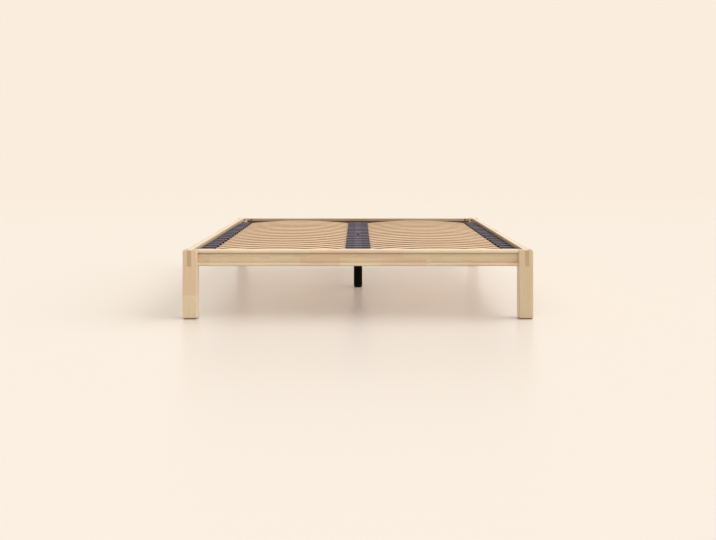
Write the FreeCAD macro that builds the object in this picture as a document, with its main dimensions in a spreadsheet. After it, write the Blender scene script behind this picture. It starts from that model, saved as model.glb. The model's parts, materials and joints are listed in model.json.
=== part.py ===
import FreeCAD, Part
import math
import os

import Sketcher

# A low double bed frame in solid wood: four square legs, moulded side rails whose tenons drop
# into open slots in the legs, moulded end rails joined to the legs with hidden studs and barrel
# nuts, two rows of bowed slats held in rubber caps, and a round centre leg with a levelling
# foot under the middle beam.
# Millimetres. X is across the bed, Y runs from the foot end (-Y) to the head end (+Y), Z is up,
# and the origin is on the floor under the bed's centre.

SIZES = (
    # mattress that the frame is made for, and the room left around it
    ("mattress_width", 1600),
    ("mattress_length", 2000),
    ("mattress_gap", 4),
    # whole frame and its corner legs
    ("frame_height", 332),
    ("leg_side", 70),
    ("leg_round", 6),
    ("leg_reveal", 5),
    ("glide_thickness", 3),
    ("glide_inset", 6),
    # rails: a flat web with a lip along its top and its bottom edge, inside and out
    ("rail_height", 78),
    ("side_web", 20),
    ("side_recess", 8),
    ("end_web", 40),
    ("end_recess", 20),
    ("lip_depth", 16),
    ("lip_height", 17),
    ("lip_round", 7),
    ("edge_break", 2),
    ("tenon_gap", 0.2),
    # slats and their rows
    ("slat_width", 53),
    ("slat_thickness", 8),
    ("slat_bevel", 1.2),
    ("slat_rise", 23),
    ("slat_middle_gap", 36),
    ("slat_side_gap", 19),
    ("crown_drop", 10),
    ("row_pitch", 101),
    ("end_row_room", 62),
    # rubber caps on the slat ends
    ("cap_width", 62),
    ("cap_drop", 20.5),
    ("cap_wall", 4),
    ("cap_base", 3),
    ("cap_round", 0.8),
    ("slat_gap", 0.3),
    ("side_cap_grip", 50),
    ("side_cap_end", 18),
    ("centre_cap_grip", 47),
    ("centre_rib_width", 40),
    ("centre_groove_width", 3),
    ("centre_groove_depth", 3),
    ("centre_base_width", 60),
    ("lug_radius", 5),
    ("centre_lug_radius", 7),
    ("lug_length", 14),
    ("lug_gap", 0.2),
    # battens that carry the side caps, and the beam that carries the centre caps
    ("ledger_width", 34),
    ("ledger_height", 30),
    ("ledger_end_gap", 1),
    ("beam_width", 60),
    ("beam_height", 28),
    ("beam_end_gap", 0.5),
    ("hanger_thickness", 2),
    ("hanger_depth", 35),
    ("hanger_gap", 0.5),
    ("hanger_wing", 20),
    # studs between each leg and end rail, with a barrel nut at both ends, and wood screws
    ("stud_bolt_radius", 3),
    ("stud_bolt_tail", 1),
    ("bolt_play", 0.3),
    ("bolt_spacing", 58),
    ("nut_radius", 5),
    ("nut_length", 30),
    ("rail_nut_setback", 27),
    ("leg_nut_setback", 20),
    ("nut_sink", 3),
    ("nut_slot_width", 1.5),
    ("nut_slot_depth", 2),
    ("screw_radius", 2.3),
    ("screw_head_radius", 4.6),
    ("screw_head_height", 2.4),
    ("screw_length", 48),
    ("hanger_screw_length", 28),
    ("screw_play", 0.1),
    ("rows_per_screw", 3),
    # round centre leg with its levelling foot
    ("tube_radius", 25),
    ("tube_wall", 2),
    ("plate_radius", 30),
    ("plate_thickness", 4),
    ("boss_radius", 11),
    ("boss_length", 14),
    ("centre_bolt_radius", 4),
    ("centre_head_radius", 7.5),
    ("centre_head_height", 4),
    ("socket_width", 6),
    ("pad_height", 10),
    ("pad_radius", 24),
    ("pad_round", 2),
    ("foot_gap", 0.5),
    ("plug_flange", 3),
    ("plug_length", 20),
    ("plug_gap", 0.2),
    ("stud_radius", 5),
    ("stud_length", 46),
    ("stud_play", 0.1),
    ("disc_radius", 10),
    ("disc_height", 3),
    ("disc_gap", 0.3),
    # how much deeper a blind hole is than what it takes, and how far a cut runs past a face
    ("hole_spare", 1),
    ("overcut", 1),
)

# Places that follow from the sizes above.
PLACES = (
    ("half_width", "Dim.mattress_width / 2 + Dim.mattress_gap"),
    ("half_length", "Dim.mattress_length / 2 + Dim.mattress_gap"),
    ("web_outer", "half_width + Dim.side_web"),
    ("lip_outer", "web_outer + Dim.lip_depth"),
    ("leg_outer", "lip_outer + Dim.leg_reveal"),
    ("leg_inner", "leg_outer - Dim.leg_side"),
    ("leg_x", "leg_outer - Dim.leg_side / 2"),
    ("leg_y", "half_length + Dim.leg_side / 2"),
    ("frame_end", "half_length + Dim.leg_side"),
    ("rail_bottom", "Dim.frame_height - Dim.rail_height"),
    ("rail_middle", "Dim.frame_height - Dim.rail_height / 2"),
    ("under_lip", "Dim.frame_height - Dim.lip_height"),
    ("over_lip", "rail_bottom + Dim.lip_height"),
    ("crown", "Dim.frame_height - Dim.crown_drop"),
    ("slat_inner", "Dim.slat_middle_gap / 2"),
    ("slat_outer", "half_width - Dim.slat_side_gap"),
    ("slat_x", "(slat_outer + slat_inner) / 2"),
    ("slat_half", "(slat_outer - slat_inner) / 2"),
    ("slat_radius", "(slat_half^2 + Dim.slat_rise^2) / (2 * Dim.slat_rise)"),
    ("slat_foot", "crown - Dim.slat_rise - Dim.slat_thickness"),
    ("cap_bottom", "slat_foot - Dim.cap_wall"),
    ("cap_top", "Dim.frame_height - Dim.cap_drop"),
    ("seat", "cap_bottom - Dim.cap_base"),
    ("side_mouth", "slat_outer - Dim.side_cap_grip"),
    ("centre_mouth", "slat_inner + Dim.centre_cap_grip"),
    ("row_reach", "floor((half_length - Dim.end_row_room) / Dim.row_pitch)"),
    ("rows", "2 * row_reach + 1"),
    ("first_row", "0 - row_reach * Dim.row_pitch"),
    ("lug_x", "half_width - Dim.ledger_width / 2"),
    ("ledger_inner", "half_width - Dim.ledger_width"),
    ("screw_height", "rail_bottom + Dim.lip_height / 2"),
    ("screw_pitch", "Dim.rows_per_screw * Dim.row_pitch"),
    ("screw_pairs", "floor(half_length / screw_pitch)"),
    ("first_screw", "screw_pitch * (0.5 - screw_pairs)"),
    ("beam_bottom", "seat - Dim.beam_height"),
    ("beam_end", "half_length - Dim.hanger_thickness - Dim.beam_end_gap"),
    ("hanger_inside", "Dim.beam_width / 2 + Dim.hanger_gap"),
    ("hanger_outside", "hanger_inside + Dim.hanger_thickness"),
    ("hanger_screw_x", "hanger_outside + Dim.hanger_wing / 2"),
    ("hanger_top", "seat - Dim.hanger_thickness"),
    ("hanger_bottom", "beam_bottom - Dim.hanger_thickness"),
    ("bolt_y", "half_length + Dim.end_web / 2"),
    ("bolt_low", "rail_middle - Dim.bolt_spacing / 2"),
    ("bolt_high", "rail_middle + Dim.bolt_spacing / 2"),
    ("bolt_hole", "Dim.stud_bolt_radius + Dim.bolt_play"),
    ("rail_nut_x", "leg_inner - Dim.rail_nut_setback"),
    ("leg_nut_x", "leg_inner + Dim.leg_nut_setback"),
    ("bolt_start", "rail_nut_x - Dim.nut_radius - Dim.stud_bolt_tail"),
    ("bolt_end", "leg_nut_x + Dim.nut_radius + Dim.stud_bolt_tail"),
    ("nut_y", "half_length + Dim.nut_sink"),
    ("nut_hole", "Dim.nut_radius + Dim.bolt_play"),
    ("nut_depth", "Dim.nut_sink + Dim.nut_length + Dim.hole_spare"),
    ("tube_bottom", "Dim.pad_height + Dim.foot_gap + Dim.plug_flange"),
    ("tube_inside", "Dim.tube_radius - Dim.tube_wall"),
    ("plate_bottom", "beam_bottom - Dim.plate_thickness"),
    ("boss_bottom", "plate_bottom - Dim.boss_length"),
    ("disc_bottom", "(Dim.pad_height - Dim.disc_height) / 2"),
)

doc = FreeCAD.newDocument("BedFrame")
sheet = doc.addObject("Spreadsheet::Sheet", "Dim")
for line, (name, size) in enumerate(SIZES, start=1):
    sheet.set(f"A{line}", name)
    sheet.set(f"B{line}", str(size))
    sheet.setAlias(f"B{line}", name)
doc.recompute()

place = doc.addObject("App::VarSet", "Fit")
for name, formula in PLACES:
    place.addProperty("App::PropertyFloat", name, "Places")
    place.setExpression(name, formula)
doc.recompute()

ruler = doc.addObject("App::VarSet", "Ruler")
ruler.addProperty("App::PropertyFloat", "reading", "Ruler")

UP = FreeCAD.Vector(0, 0, 1)
# Each origin plane's normal, as a sign along the axis that it faces.
NORMALS = {"XY_Plane": 1, "XZ_Plane": -1, "YZ_Plane": 1}
# How closely an edge has to match a place or a radius to be the one that is meant.
MATCH = 0.01

readings = {}
sketch_planes = {}
sub_parts = []


def add_body(label):
    """A new named body, which is one sub-part."""
    body = doc.addObject("PartDesign::Body", label)
    body.Label = label
    sub_parts.append(body)
    return body


def origin_item(body, role):
    """The plane or axis of the body's own origin that has this role."""
    return next(item for item in body.Origin.OriginFeatures if item.Role == role)


def add_sketch(body, role, at="0"):
    """A sketch parallel to an origin plane, at this coordinate along the plane's axis."""
    sketch = body.newObject("Sketcher::SketchObject", f"{body.Name}_sketch")
    sketch.AttachmentSupport = (origin_item(body, role), [""])
    sketch.MapMode = "FlatFace"
    sign = "" if NORMALS[role] > 0 else "0 - "
    sketch.setExpression("AttachmentOffset.Base.z", f"{sign}({at})")
    sketch_planes[sketch.Name] = role
    return sketch


def number(formula):
    """What a formula comes to with the present sizes."""
    if formula not in readings:
        ruler.setExpression("reading", formula)
        ruler.recompute()
        readings[formula] = ruler.reading
    return readings[formula]


def tie(sketch, kind, formula, *items):
    """Adds a constraint whose size is given by a formula."""
    constraint = sketch.addConstraint(Sketcher.Constraint(kind, *items, number(formula)))
    sketch.setExpression(f"Constraints[{constraint}]", formula)


def tie_point(sketch, item, end, x, y):
    """Ties one end or the centre of a sketched item to a place given by two formulas."""
    tie(sketch, "DistanceX", x, -1, 1, item, end)
    tie(sketch, "DistanceY", y, -1, 1, item, end)


def outline(sketch, corners):
    """A closed outline of straight lines through corners given by formulas."""
    first, count = sketch.GeometryCount, len(corners)
    spots = [FreeCAD.Vector(number(x), number(y), 0) for x, y in corners]
    for n in range(count):
        sketch.addGeometry(Part.LineSegment(spots[n], spots[(n + 1) % count]), False)
    for n, (x, y) in enumerate(corners):
        following = first + (n + 1) % count
        sketch.addConstraint(Sketcher.Constraint("Coincident", first + n, 2, following, 1))
        tie_point(sketch, first + n, 1, x, y)


def rectangle(sketch, left, bottom, right, top):
    """A closed rectangle between two corners given by formulas."""
    outline(sketch, [(left, bottom), (right, bottom), (right, top), (left, top)])


def circle(sketch, x, y, radius):
    """A circle whose centre and radius are given by formulas."""
    centre = FreeCAD.Vector(number(x), number(y), 0)
    ring = sketch.addGeometry(Part.Circle(centre, UP, number(radius)), False)
    tie(sketch, "Radius", radius, ring)
    tie_point(sketch, ring, 3, x, y)


def bowed_band(sketch, grow, start, end, side=1, middle="Fit.slat_x", crown="Fit.crown"):
    """The lengthwise section of a bowed slat, thicker all round by grow, from start to end.

    It is a band between two arcs about one centre, cut off square at both ends. Places are
    formulas, measured across the bed, and side is 1 for the +X row of slats or -1 for -X."""
    sign = "" if side > 0 else "0 - "
    middle, left, right = (f"{sign}({x})" for x in (middle, start, end))
    if side < 0:
        left, right = right, left
    depth = f"{crown} - Fit.slat_radius"
    centre = FreeCAD.Vector(number(middle), number(depth), 0)
    radii = (f"Fit.slat_radius + {grow}", f"Fit.slat_radius - Dim.slat_thickness - {grow}")
    first = sketch.GeometryCount
    ends = []
    for radius in radii:
        reach = number(radius)
        tilts = [math.acos((number(x) - centre.x) / reach) for x in (right, left)]
        sketch.addGeometry(Part.ArcOfCircle(Part.Circle(centre, UP, reach), *tilts), False)
        ends.append([centre + FreeCAD.Vector(math.cos(t), math.sin(t), 0) * reach for t in tilts])
    for outer_end, inner_end in zip(*ends):
        sketch.addGeometry(Part.LineSegment(outer_end, inner_end), False)
    for arc, line_end, radius in ((first, 1, radii[0]), (first + 1, 2, radii[1])):
        tie(sketch, "Radius", radius, arc)
        tie_point(sketch, arc, 3, middle, depth)
        for arc_end, x in ((1, right), (2, left)):
            tie(sketch, "DistanceX", x, -1, 1, arc, arc_end)
            line = first + 1 + arc_end
            sketch.addConstraint(Sketcher.Constraint("Coincident", arc, arc_end, line, line_end))


def add_feature(body, kind, sketch, length, towards):
    """A pad or pocket of the sketch: towards +1 or -1 along the axis, or 0 for both ways."""
    feature = body.newObject(f"PartDesign::{kind}", f"{body.Name}_{kind.lower()}")
    feature.Profile = sketch
    feature.setExpression("Length", length)
    if towards == 0:
        feature.SideType = "Symmetric"
    else:
        grows_along_normal = kind == "Pad"
        forward = towards * NORMALS[sketch_planes[sketch.Name]] > 0
        feature.Reversed = forward != grows_along_normal
    doc.recompute()
    return feature


def pad(body, sketch, length, towards=0):
    """Adds the sketched section to the body."""
    return add_feature(body, "Pad", sketch, length, towards)


def pocket(body, sketch, length, towards=0):
    """Cuts the sketched section out of the body, and makes sure that it cut something."""
    before = body.Shape.Volume
    feature = add_feature(body, "Pocket", sketch, length, towards)
    if body.Shape.Volume >= before - 1e-6:
        raise RuntimeError(f"{feature.Name} cuts nothing from {body.Label}")
    return feature


def cylinder(body, role, at, x, y, radius, length, towards, cut=False):
    """A round bar or hole, square to an origin plane."""
    sketch = add_sketch(body, role, at)
    circle(sketch, x, y, radius)
    return (pocket if cut else pad)(body, sketch, length, towards)


def turned(body, corners):
    """A solid of revolution about the Z axis, from an outline of (radius, height) corners."""
    sketch = add_sketch(body, "XZ_Plane")
    outline(sketch, corners)
    feature = body.newObject("PartDesign::Revolution", f"{body.Name}_revolution")
    feature.Profile = sketch
    feature.ReferenceAxis = (sketch, ["V_Axis"])
    feature.Angle = 360
    doc.recompute()


def soften_edges(body, kind, measure, size, chosen):
    """Dresses the edges of the body so far for which chosen(edge) is true."""
    base = body.Tip
    names = [f"Edge{n}" for n, edge in enumerate(base.Shape.Edges, start=1) if chosen(edge)]
    feature = body.newObject(f"PartDesign::{kind}", f"{body.Name}_{kind.lower()}")
    feature.Base = (base, names)
    feature.setExpression(measure, size)
    doc.recompute()


def round_edges(body, radius, chosen):
    """Rounds the chosen edges."""
    soften_edges(body, "Fillet", "Radius", radius, chosen)


def bevel_edges(body, size, chosen):
    """Bevels the chosen edges."""
    soften_edges(body, "Chamfer", "Size", size, chosen)


def copy_along(body, role, spacing, count, features=None):
    """Repeats the whole body, or only some features of it, along an origin axis."""
    pattern = body.newObject("PartDesign::LinearPattern", f"{body.Name}_row")
    if features:
        pattern.Originals = features
    else:
        pattern.TransformMode = "Whole shape"
    pattern.Direction = (origin_item(body, role), [""])
    pattern.Mode = "Spacing"
    pattern.setExpression("Offset", spacing)
    pattern.setExpression("Occurrences", count)
    pattern.Refine = False
    body.Tip = pattern
    doc.recompute()


def mirror(body, role, features=None):
    """Mirrors the whole body, or only some features of it, in an origin plane."""
    copy = body.newObject("PartDesign::Mirrored", f"{body.Name}_mirror")
    if features:
        copy.Originals = features
    else:
        copy.TransformMode = "Whole shape"
    copy.MirrorPlane = (origin_item(body, role), [""])
    copy.Refine = False
    body.Tip = copy
    doc.recompute()


def runs_along(edge, x, y, z):
    """True for a straight edge in this direction."""
    if not isinstance(edge.Curve, Part.Line):
        return False
    return abs(edge.Curve.Direction.dot(FreeCAD.Vector(x, y, z))) > 1 - MATCH


def is_round(edge, radius):
    """True for a circle or an arc of this radius."""
    return isinstance(edge.Curve, Part.Circle) and abs(edge.Curve.Radius - radius) < MATCH


def turn_half_round(body):
    """Sets a piece made for the +X side on the -X side."""
    body.Placement.Rotation = FreeCAD.Rotation(UP, 180)


def make_leg(label, side, end):
    """A corner leg with an open-topped slot for the side rail's tenon.

    It is drawn for the +X side, about its own centre line. side and end are the signs of its
    X and its Y."""
    leg = add_body(label)
    block = add_sketch(leg, "XY_Plane", "Dim.glide_thickness")
    half = "Dim.leg_side / 2"
    rectangle(block, f"0 - {half}", f"0 - {half}", half, half)
    pad(leg, block, "Dim.frame_height - Dim.glide_thickness", 1)
    round_edges(leg, "Dim.leg_round", lambda edge: True)

    slot = add_sketch(leg, "XZ_Plane")
    rectangle(
        slot,
        "Fit.half_width - Dim.tenon_gap - Fit.leg_x",
        "Fit.rail_bottom",
        "Fit.web_outer + Dim.tenon_gap - Fit.leg_x",
        "Dim.frame_height + Dim.overcut",
    )
    pocket(leg, slot, "Dim.leg_side * 2")

    inward = side * end
    for height in ("Fit.bolt_low", "Fit.bolt_high"):
        cylinder(leg, "YZ_Plane", f"0 - {half}", f"{inward} * (Fit.bolt_y - Fit.leg_y)", height,
                 "Fit.bolt_hole", "Fit.bolt_end - Fit.leg_inner + Dim.hole_spare", 1, cut=True)
        cylinder(leg, "XZ_Plane", f"{-inward} * {half}", "Fit.leg_nut_x - Fit.leg_x", height,
                 "Fit.nut_hole", "Fit.nut_depth", inward, cut=True)
    if side < 0:
        turn_half_round(leg)
    leg.setExpression("Placement.Base.x", f"{side} * Fit.leg_x")
    leg.setExpression("Placement.Base.y", f"{end} * Fit.leg_y")


def make_side_rail(label, side):
    """A moulded side rail: its web runs on at both ends as the tenons in the legs."""
    rail = add_body(label)
    web = add_sketch(rail, "XZ_Plane")
    rectangle(web, "Fit.half_width", "Fit.rail_bottom", "Fit.web_outer", "Dim.frame_height")
    pad(rail, web, "Fit.frame_end * 2")
    lips = add_sketch(rail, "XZ_Plane")
    rectangle(lips, "Fit.web_outer", "Fit.under_lip", "Fit.lip_outer", "Dim.frame_height")
    rectangle(lips, "Fit.web_outer", "Fit.rail_bottom", "Fit.lip_outer", "Fit.over_lip")
    pad(rail, lips, "Fit.half_length * 2")
    recess = add_sketch(rail, "XZ_Plane")
    rectangle(recess, "Fit.half_width", "Fit.over_lip", "Fit.half_width + Dim.side_recess",
              "Fit.under_lip")
    pocket(rail, recess, "Fit.half_length * 2")
    round_edges(rail, "Dim.lip_round",
                lambda edge: runs_along(edge, 0, 1, 0)
                and abs(edge.CenterOfMass.x - place.lip_outer) < MATCH)
    round_edges(rail, "Dim.edge_break",
                lambda edge: runs_along(edge, 0, 1, 0)
                and abs(edge.CenterOfMass.x - place.half_width) < MATCH)
    pilot = cylinder(rail, "YZ_Plane", "Fit.half_width", "Fit.first_screw", "Fit.screw_height",
                     "Dim.screw_radius + Dim.screw_play",
                     "Dim.screw_length - Dim.ledger_width + Dim.hole_spare", 1, cut=True)
    copy_along(rail, "Y_Axis", "Fit.screw_pitch", "Fit.screw_pairs * 2", [pilot])
    if side < 0:
        turn_half_round(rail)


def make_end_rail(label, end):
    """A moulded end rail between two legs, drawn for the head end."""
    rail = add_body(label)
    section = add_sketch(rail, "YZ_Plane")
    inner, web = "Fit.half_length", "Fit.half_length + Dim.end_web"
    outer, recess = f"{web} + Dim.lip_depth", f"{inner} + Dim.end_recess"
    top, under_lip = "Dim.frame_height", "Fit.under_lip"
    bottom, over_lip = "Fit.rail_bottom", "Fit.over_lip"
    outline(section, [
        (inner, bottom), (outer, bottom), (outer, over_lip), (web, over_lip),
        (web, under_lip), (outer, under_lip), (outer, top), (inner, top),
        (inner, under_lip), (recess, under_lip), (recess, over_lip), (inner, over_lip),
    ])
    pad(rail, section, "Fit.leg_inner * 2")
    lip_face = place.half_length + sheet.end_web + sheet.lip_depth
    round_edges(rail, "Dim.lip_round",
                lambda edge: runs_along(edge, 1, 0, 0)
                and abs(edge.CenterOfMass.y - lip_face) < MATCH)
    round_edges(rail, "Dim.edge_break",
                lambda edge: runs_along(edge, 1, 0, 0)
                and abs(edge.CenterOfMass.y - place.half_length) < MATCH)
    for height in ("Fit.bolt_low", "Fit.bolt_high"):
        bore = cylinder(rail, "YZ_Plane", "Fit.leg_inner", "Fit.bolt_y", height, "Fit.bolt_hole",
                        "Fit.leg_inner - Fit.bolt_start + Dim.hole_spare", -1, cut=True)
        nut_bore = cylinder(rail, "XZ_Plane", "Fit.half_length", "Fit.rail_nut_x", height,
                            "Fit.nut_hole", "Fit.nut_depth", 1, cut=True)
        mirror(rail, "YZ_Plane", [bore, nut_bore])
    pilot = cylinder(rail, "XZ_Plane", "Fit.half_length", "Fit.hanger_screw_x", "Fit.screw_height",
                     "Dim.screw_radius + Dim.screw_play", "Dim.hanger_screw_length", 1, cut=True)
    mirror(rail, "YZ_Plane", [pilot])
    if end < 0:
        turn_half_round(rail)


def make_ledger(label, side):
    """A batten on the side rail's inner face, with a hole for each cap's lug."""
    ledger = add_body(label)
    section = add_sketch(ledger, "XZ_Plane")
    rectangle(section, "Fit.ledger_inner", "Fit.seat - Dim.ledger_height",
              "Fit.half_width", "Fit.seat")
    pad(ledger, section, "(Fit.half_length - Dim.ledger_end_gap) * 2")
    round_edges(ledger, "Dim.edge_break",
                lambda edge: runs_along(edge, 0, 1, 0)
                and abs(edge.CenterOfMass.x - place.ledger_inner) < MATCH)
    hole = cylinder(ledger, "XY_Plane", "Fit.seat", "Fit.lug_x", "Fit.first_row",
                    "Dim.lug_radius + Dim.lug_gap", "Dim.lug_length + Dim.hole_spare", -1, cut=True)
    copy_along(ledger, "Y_Axis", "Dim.row_pitch", "Fit.rows", [hole])
    hole = cylinder(ledger, "YZ_Plane", "Fit.ledger_inner", "Fit.first_screw", "Fit.screw_height",
                    "Dim.screw_radius + Dim.screw_play", "Dim.ledger_width", 1, cut=True)
    copy_along(ledger, "Y_Axis", "Fit.screw_pitch", "Fit.screw_pairs * 2", [hole])
    if side < 0:
        turn_half_round(ledger)


def make_beam():
    """The middle beam, with a hole for each centre cap's lug and one for the leg's bolt."""
    beam = add_body("centre_beam")
    section = add_sketch(beam, "XZ_Plane")
    rectangle(section, "0 - Dim.beam_width / 2", "Fit.beam_bottom",
              "Dim.beam_width / 2", "Fit.seat")
    pad(beam, section, "Fit.beam_end * 2")
    round_edges(beam, "Dim.edge_break", lambda edge: runs_along(edge, 0, 1, 0))
    hole = cylinder(beam, "XY_Plane", "Fit.seat", "0", "Fit.first_row",
                    "Dim.centre_lug_radius + Dim.lug_gap", "Dim.lug_length + Dim.hole_spare",
                    -1, cut=True)
    copy_along(beam, "Y_Axis", "Dim.row_pitch", "Fit.rows", [hole])
    cylinder(beam, "XY_Plane", "Fit.beam_bottom", "0", "0",
             "Dim.centre_bolt_radius + Dim.bolt_play", "Dim.beam_height", 1, cut=True)


def make_hangers():
    """Bent steel shoes on the end rails, which carry the beam's two ends."""
    hangers = add_body("beam_hangers")
    plate = add_sketch(hangers, "XZ_Plane", "Fit.half_length")
    wing = "(Fit.hanger_outside + Dim.hanger_wing)"
    rectangle(plate, f"0 - {wing}", "Fit.hanger_bottom", wing, "Fit.hanger_top")
    pad(hangers, plate, "Dim.hanger_thickness", -1)
    shoe = add_sketch(hangers, "XZ_Plane", "Fit.half_length")
    inside, outside = "Fit.hanger_inside", "Fit.hanger_outside"
    outline(shoe, [
        (f"0 - {outside}", "Fit.hanger_bottom"), (outside, "Fit.hanger_bottom"),
        (outside, "Fit.hanger_top"), (inside, "Fit.hanger_top"),
        (inside, "Fit.beam_bottom"), (f"0 - {inside}", "Fit.beam_bottom"),
        (f"0 - {inside}", "Fit.hanger_top"), (f"0 - {outside}", "Fit.hanger_top"),
    ])
    pad(hangers, shoe, "Dim.hanger_depth", -1)
    hole = cylinder(hangers, "XZ_Plane", "Fit.half_length", "Fit.hanger_screw_x",
                    "Fit.screw_height", "Dim.screw_radius + Dim.screw_play",
                    "Dim.hanger_thickness", -1, cut=True)
    mirror(hangers, "YZ_Plane", [hole])
    mirror(hangers, "XZ_Plane")


def make_slat(label, side, row):
    """A bowed slat, drawn about the top of its crown."""
    slat = add_body(label)
    section = add_sketch(slat, "XZ_Plane")
    bowed_band(section, "0", "0 - Fit.slat_half", "Fit.slat_half", middle="0", crown="0")
    pad(slat, section, "Dim.slat_width")
    bevel_edges(slat, "Dim.slat_bevel", lambda edge: isinstance(edge.Curve, Part.Circle))
    slat.setExpression("Placement.Base.x", f"{side} * Fit.slat_x")
    slat.setExpression("Placement.Base.y", f"Fit.first_row + {row} * Dim.row_pitch")
    slat.setExpression("Placement.Base.z", "Fit.crown")


def round_cap(caps, mouth):
    """Rounds a cap's top edges, and its upright edges at the mouth."""
    round_edges(caps, "Dim.cap_round",
                lambda edge: edge.CenterOfMass.z > place.cap_top - MATCH
                or runs_along(edge, 0, 0, 1) and abs(abs(edge.CenterOfMass.x) - mouth) < MATCH)


def make_side_caps():
    """The rubber caps along both side rails: a flat-topped sleeve, a foot and a lug below."""
    caps = add_body("side_caps")
    outer = "Fit.slat_outer + Dim.side_cap_end"
    sleeve = add_sketch(caps, "XZ_Plane", "Fit.first_row")
    rectangle(sleeve, "Fit.side_mouth", "Fit.cap_bottom", outer, "Fit.cap_top")
    pad(caps, sleeve, "Dim.cap_width")
    round_cap(caps, place.side_mouth)
    foot = add_sketch(caps, "XZ_Plane", "Fit.first_row")
    rectangle(foot, "Fit.ledger_inner", "Fit.seat", outer, "Fit.cap_bottom")
    pad(caps, foot, "Dim.cap_width - Dim.cap_wall")
    room = add_sketch(caps, "XZ_Plane", "Fit.first_row")
    bowed_band(room, "Dim.slat_gap", "Fit.side_mouth - Dim.overcut",
               "Fit.slat_outer + Dim.slat_gap")
    pocket(caps, room, "Dim.slat_width + Dim.slat_gap * 2")
    cylinder(caps, "XY_Plane", "Fit.seat", "Fit.lug_x", "Fit.first_row",
             "Dim.lug_radius", "Dim.lug_length", -1)
    copy_along(caps, "Y_Axis", "Dim.row_pitch", "Fit.rows")
    mirror(caps, "YZ_Plane")


def make_centre_caps():
    """The double rubber caps on the beam: two sleeves, a broad rib between them, and a lug."""
    caps = add_body("centre_caps")
    section = add_sketch(caps, "XZ_Plane", "Fit.first_row")
    base, rib = "Dim.centre_base_width / 2", "Dim.centre_rib_width / 2"
    groove, mouth = f"({rib} + Dim.centre_groove_width)", "Fit.centre_mouth"
    bottom, top = "Fit.cap_bottom", "Fit.cap_top"
    floor = f"{top} - Dim.centre_groove_depth"
    half = [
        (base, "Fit.seat"), (base, bottom), (mouth, bottom), (mouth, top),
        (groove, top), (groove, floor), (rib, floor), (rib, top),
    ]
    outline(section, half + [(f"0 - {x}", z) for x, z in reversed(half)])
    pad(caps, section, "Dim.cap_width")
    round_cap(caps, place.centre_mouth)
    room = add_sketch(caps, "XZ_Plane", "Fit.first_row")
    for side in (1, -1):
        bowed_band(room, "Dim.slat_gap", "Fit.slat_inner - Dim.slat_gap",
                   "Fit.centre_mouth + Dim.overcut", side)
    pocket(caps, room, "Dim.slat_width + Dim.slat_gap * 2")
    cylinder(caps, "XY_Plane", "Fit.seat", "0", "Fit.first_row",
             "Dim.centre_lug_radius", "Dim.lug_length", -1)
    copy_along(caps, "Y_Axis", "Dim.row_pitch", "Fit.rows")
    cylinder(caps, "XY_Plane", "Fit.cap_top", "0", "0", "Dim.centre_bolt_radius + Dim.bolt_play",
             "Fit.cap_top - Fit.seat + Dim.lug_length", -1, cut=True)


def make_bolts():
    """Two studs at each corner, from end rail to leg, and the centre leg's bolt."""
    bolts = add_body("frame_bolts")
    cylinder(bolts, "YZ_Plane", "Fit.bolt_start", "Fit.bolt_y", "Fit.bolt_low",
             "Dim.stud_bolt_radius", "Fit.bolt_end - Fit.bolt_start", 1)
    copy_along(bolts, "Z_Axis", "Dim.bolt_spacing", "2")
    mirror(bolts, "XZ_Plane")
    mirror(bolts, "YZ_Plane")
    cylinder(bolts, "XY_Plane", "Fit.cap_top", "0", "0", "Dim.centre_bolt_radius",
             "Fit.cap_top - Fit.boss_bottom - Dim.hole_spare", -1)
    cylinder(bolts, "XY_Plane", "Fit.cap_top", "0", "0", "Dim.centre_head_radius",
             "Dim.centre_head_height", 1)
    socket = add_sketch(bolts, "XY_Plane", "Fit.cap_top + Dim.centre_head_height")
    corner = "Dim.socket_width / (2 * cos(30deg))"
    outline(socket, [
        (f"cos({angle}deg) * {corner}", f"sin({angle}deg) * {corner}")
        for angle in range(0, 360, 60)
    ])
    pocket(bolts, socket, "Dim.centre_head_height / 2", -1)


def make_barrel_nuts():
    """Barrel nuts on both ends of the studs, in end rail and leg, slotted at the open end."""
    nuts = add_body("barrel_nuts")
    for x in ("Fit.rail_nut_x", "Fit.leg_nut_x"):
        cylinder(nuts, "XZ_Plane", "Fit.nut_y", x, "Fit.bolt_low", "Dim.nut_radius",
                 "Dim.nut_length", 1)
        slot = add_sketch(nuts, "XZ_Plane", "Fit.nut_y")
        rectangle(slot, f"{x} - Dim.nut_radius - Dim.overcut",
                  "Fit.bolt_low - Dim.nut_slot_width / 2",
                  f"{x} + Dim.nut_radius + Dim.overcut",
                  "Fit.bolt_low + Dim.nut_slot_width / 2")
        pocket(nuts, slot, "Dim.nut_slot_depth", 1)
    cylinder(nuts, "YZ_Plane", "Fit.bolt_start", "Fit.bolt_y", "Fit.bolt_low",
             "Dim.stud_bolt_radius + Dim.screw_play", "Fit.bolt_end - Fit.bolt_start",
             1, cut=True)
    copy_along(nuts, "Z_Axis", "Dim.bolt_spacing", "2")
    mirror(nuts, "XZ_Plane")
    mirror(nuts, "YZ_Plane")


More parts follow.
